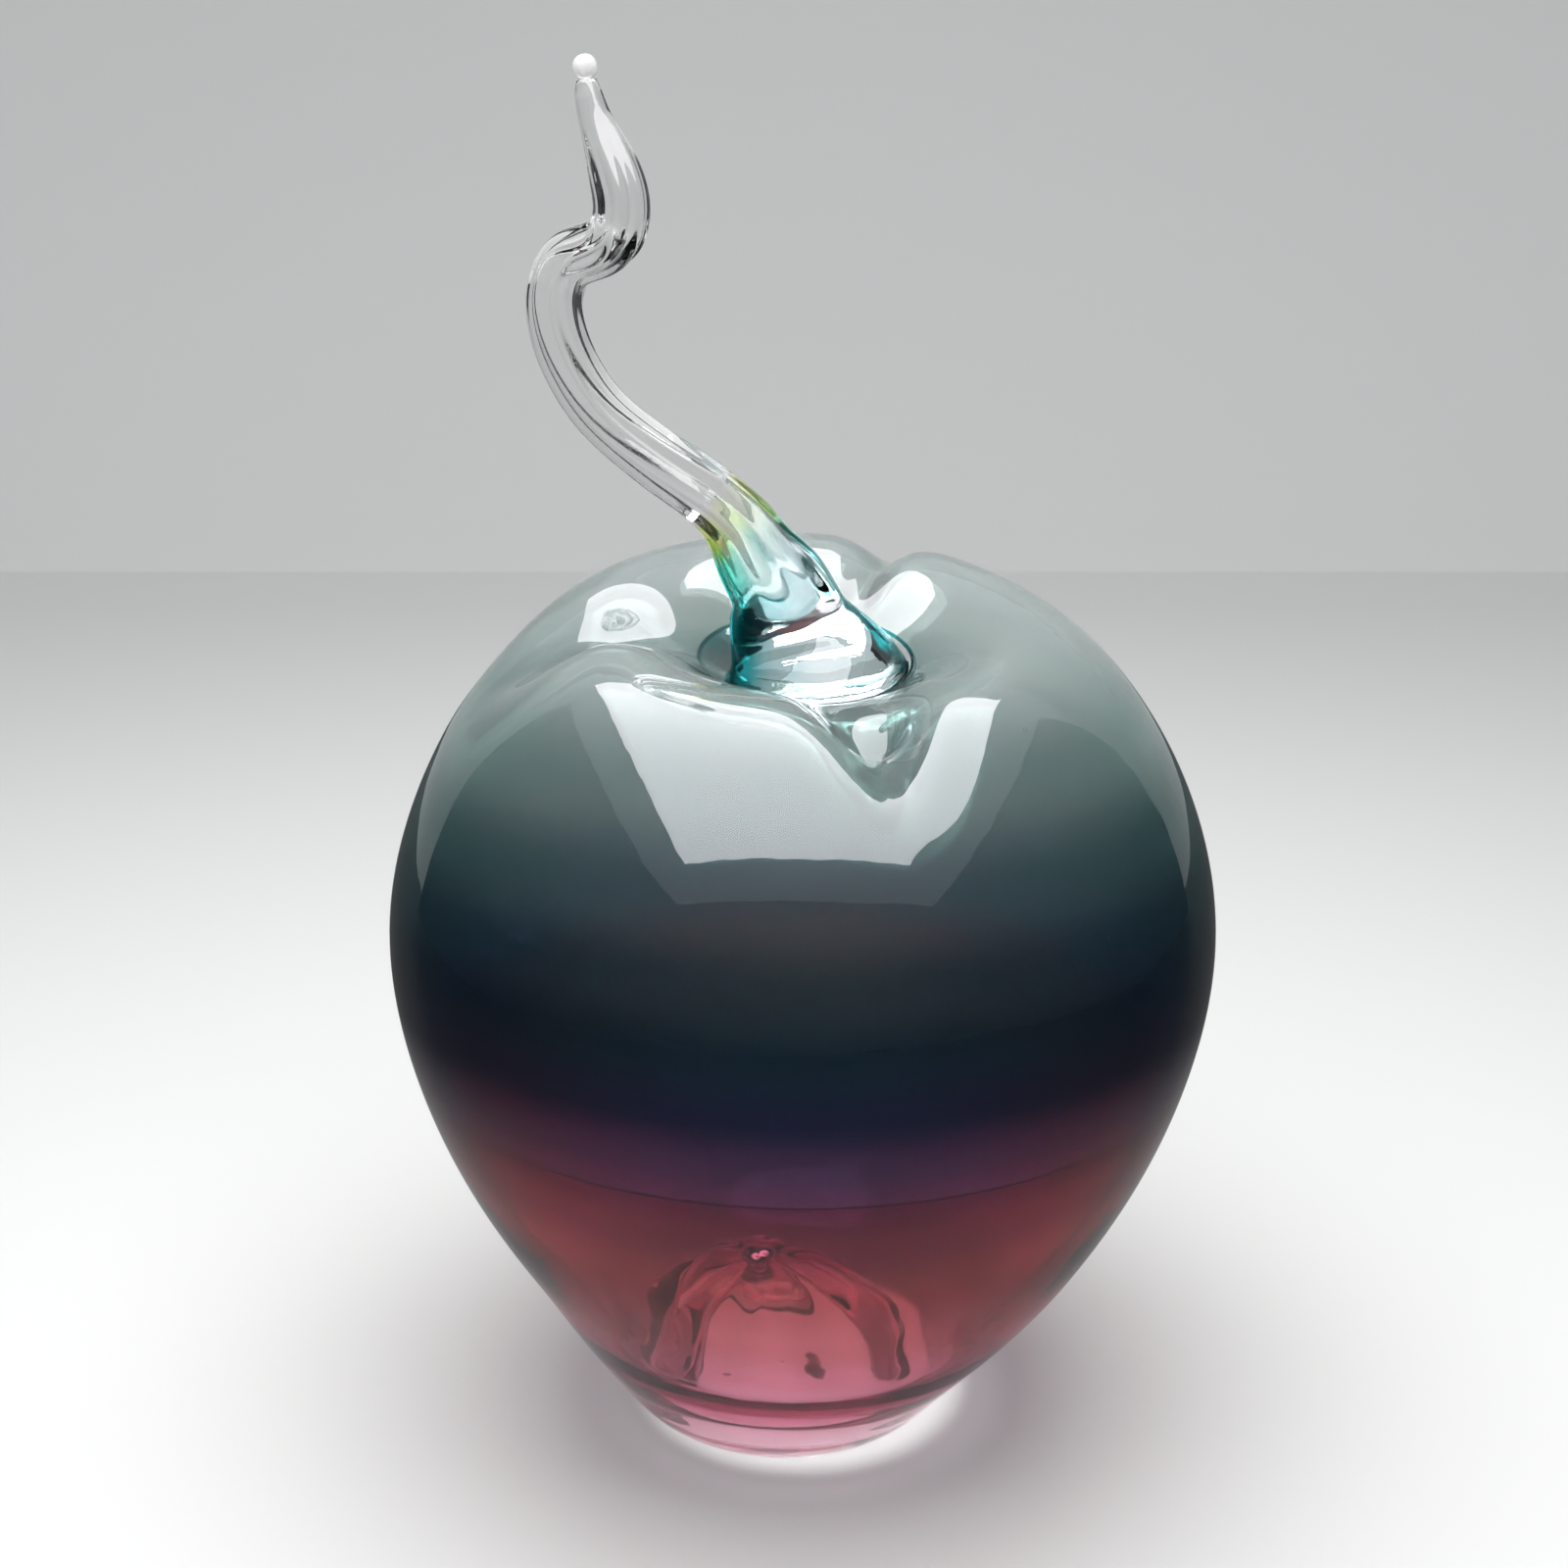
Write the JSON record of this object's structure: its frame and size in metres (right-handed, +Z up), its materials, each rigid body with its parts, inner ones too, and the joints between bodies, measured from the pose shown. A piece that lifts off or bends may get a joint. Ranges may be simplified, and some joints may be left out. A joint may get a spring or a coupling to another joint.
{
  "type": "art glass apple",
  "caption": "Hollow blown-glass apple with a lobed, dented top, a pushed-up punt, colour layers inside clear glass, and a curled, tapering stem.",
  "frame": {"origin": "on the plane that the foot rests on, under the middle of the overall box", "axes": "+Z up along the stem side, -Y towards the front with the deep dent, +X to the right seen from the front"},
  "size_m": [0.09, 0.09, 0.1496],
  "materials": {
    "clear_glass": "fire-polished clear glass with a faint pink cast",
    "teal_glass": "smoky grey-green glass that deepens to teal-black",
    "ruby_glass": "ruby glass that fades to rose at the base",
    "stem_glass": "clear, fire-polished solid rod",
    "collar_glass": "teal glass drawn thin, yellow-green where it ends",
    "tip_glass": "milky glass bead",
    "seal_glass": "silvery grey glass wad"
  },
  "bodies": {
    "root": {"clear_casing": "clear_glass", "teal_overlay": "teal_glass", "ruby_overlay": "ruby_glass", "stem": "stem_glass", "stem_collar": "collar_glass", "stem_tip": "tip_glass", "pontil_seal": "seal_glass"}
  },
  "joints": []
}
